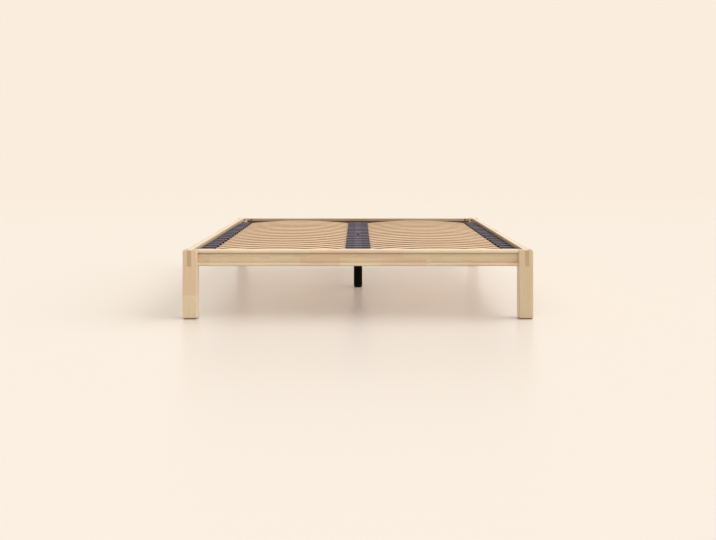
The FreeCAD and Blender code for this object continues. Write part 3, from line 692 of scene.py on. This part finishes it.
# The cross recess from its rim down: an arm's length, half its width and the depth.
RECESS = ((0.0023, 0.00055, 0.0), (0.0020, 0.00042, 0.0004), (0.0008, 0.00030, 0.0016))


def cross_edge(angle, arm, half):
    """How far it is to the edge of a plus sign, whose arms have this length and half width."""
    u, v = abs(math.cos(angle)), abs(math.sin(angle))
    along_arm = min(arm / max(u, v), half / max(min(u, v), TINY))
    return max(along_arm, half / max(u, v))


def screw(shape, seat, outward, length):
    """A pan-head wood screw with a cross recess, from its seat and the way its head faces."""
    seat = mathutils.Vector(seat)
    outward = mathutils.Vector(outward)
    across = outward.orthogonal().normalized()
    beside = outward.cross(across)

    def ring(radius, height):
        return [seat + across * x + beside * y + outward * height for x, y in circle(radius)]

    rings = [
        ring(POINT_RADIUS, -length),
        ring(SHANK_RADIUS * TAPER, -length + TAPER_END),
        ring(SHANK_RADIUS, -length + SHANK_START),
        ring(SHANK_RADIUS, 0.0),
        ring(HEAD_RADIUS * HEAD_SEAT, 0.0),
    ]
    for tilt in DOME_TILTS:
        side, top = math.cos(math.radians(tilt)), math.sin(math.radians(tilt))
        height = HEAD_HEIGHT * top ** PAN_TOP
        rings.append(ring(HEAD_RADIUS * side ** PAN_SIDE, height))
    for arm, half, depth in RECESS:
        rings.append(ring(lambda angle: cross_edge(angle, arm, half), height - depth))
    join_rings(shape, rings)


# Where the screws' heads sit, how many there are in a ledger, how many rows of slats there are
# from one to the next, and the screws' lengths.
SCREW_HEIGHT = 0.2625
LEDGER_FACE = 0.770
LEDGER_SCREWS = 6
ROWS_TO_A_SCREW = 3
LEDGER_SCREW_LENGTH = 0.048
HANGER_X = 0.0425
HANGER_FACE = 1.002
HANGER_SCREW_LENGTH = 0.028


def wood_screws():
    """The screws through the ledgers and through the beam's hangers."""
    shape = bmesh.new()
    for side in (-1, 1):
        for n in range(LEDGER_SCREWS):
            y = (n - (LEDGER_SCREWS - 1) / 2) * ROWS_TO_A_SCREW * ROW_PITCH
            seat = (side * LEDGER_FACE, y, SCREW_HEIGHT)
            screw(shape, seat, (-side, 0, 0), LEDGER_SCREW_LENGTH)
        for end in (-1, 1):
            seat = (side * HANGER_X, end * HANGER_FACE, SCREW_HEIGHT)
            screw(shape, seat, (0, -end, 0), HANGER_SCREW_LENGTH)
    screws = new_piece("cross_head_screws", shape, zinc, "wood_screws")
    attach(screws, "frame")


levelling_stud()
wood_screws()


# ---------------------------------------------------------------- floor, light and camera

# The floor turns into the backdrop between these two distances from the bed's centre.
BACKDROP = (0.956, 0.847, 0.723)
FLOOR = (0.892, 0.848, 0.803)
FLOOR_RADIUS = 60
FLOOR_ENDS = (5.0, 14.0)

# The sky's light: its colour, its strength at the horizon and overhead, and what it gains
# towards the right.
AMBIENT = (1.0, 0.925, 0.838)
SKY_LOW = 0.20
SKY_HIGH = 1.06
SKY_RIGHT = 0.42

# The key light's angles are in degrees.
KEY_ENERGY = 1.40
KEY_COLOUR = (1.0, 1.0, 1.0)
KEY_WIDTH = 60
KEY_TILT, KEY_TURN = 50, 91

# The lens and the sensor are in millimetres, and the shift is a share of the sensor.
EYE = (0, -5.639, 0.821)
LENS = 47.7
SENSOR = 36
LENS_SHIFT = -0.1694


def studio_floor():
    """A large pale floor, slightly glossy, that turns into the backdrop far from the bed."""
    mesh = bpy.data.meshes.new("studio_floor")
    shape = bmesh.new()
    bmesh.ops.create_circle(shape, cap_ends=True, segments=96, radius=FLOOR_RADIUS)
    shape.to_mesh(mesh)
    shape.free()
    floor = bpy.data.objects.new("studio_floor", mesh)
    bpy.context.scene.collection.objects.link(floor)

    paint = finish("floor_paint")
    x, y, _ = paint.place()
    far = (x * x + y * y).math("SQRT").fade(*FLOOR_ENDS)
    lit = paint.add("BsdfPrincipled", None, {
        "Base Color": FLOOR,
        "Roughness": 0.32,
        "Specular IOR Level": 0.35,
    })
    glow = paint.add("Emission", None, {"Color": BACKDROP, "Strength": 1.0})
    both = paint.add("MixShader", None, {0: far, 1: lit, 2: glow})
    paint.add("OutputMaterial", None, {"Surface": both})
    mesh.materials.append(paint.owner)


def studio_light():
    """The backdrop that is seen, the soft sky that lights, and a broad key from the right.

    The sky is brighter overhead, and more so on the right."""
    world = bpy.data.worlds.new("studio")
    bpy.context.scene.world = world
    sky = Finish(world)
    camera_ray, glossy_ray, clear_ray = [
        sky.add("LightPath", output=f"Is {kind} Ray")
        for kind in ("Camera", "Glossy", "Transmission")
    ]
    seen = camera_ray.math("MAXIMUM", glossy_ray).math("MAXIMUM", clear_ray)
    right, _, height = sky.coordinates("Generated")
    strength = SKY_HIGH + right * SKY_RIGHT
    low = sky.add("Background", None, {"Color": AMBIENT, "Strength": SKY_LOW})
    high = sky.add("Background", None, {"Color": AMBIENT, "Strength": strength})
    ambient = sky.add("MixShader", None, {0: height.fade(0.0, 1.0), 1: low, 2: high})
    backdrop = sky.add("Background", None, {"Color": BACKDROP, "Strength": 1.0})
    both = sky.add("MixShader", None, {0: seen, 1: ambient, 2: backdrop})
    sky.add("OutputWorld", None, {"Surface": both})

    lamp = bpy.data.lights.new("key", "SUN")
    lamp.energy = KEY_ENERGY
    lamp.angle = math.radians(KEY_WIDTH)
    lamp.color = KEY_COLOUR
    key = bpy.data.objects.new("key", lamp)
    key.rotation_euler = (math.radians(KEY_TILT), 0, math.radians(KEY_TURN))
    bpy.context.scene.collection.objects.link(key)


def camera():
    """A level camera in front of the foot end, above the bed, that is shifted down to it."""
    lens = bpy.data.cameras.new("camera")
    lens.sensor_fit = "HORIZONTAL"
    lens.sensor_width = SENSOR
    lens.lens = LENS
    lens.shift_y = LENS_SHIFT
    eye = bpy.data.objects.new("camera", lens)
    eye.location = EYE
    eye.rotation_euler = (math.radians(90), 0, 0)
    bpy.context.scene.collection.objects.link(eye)
    bpy.context.scene.camera = eye


studio_floor()
studio_light()
camera()
bpy.context.scene.view_settings.view_transform = "Standard"
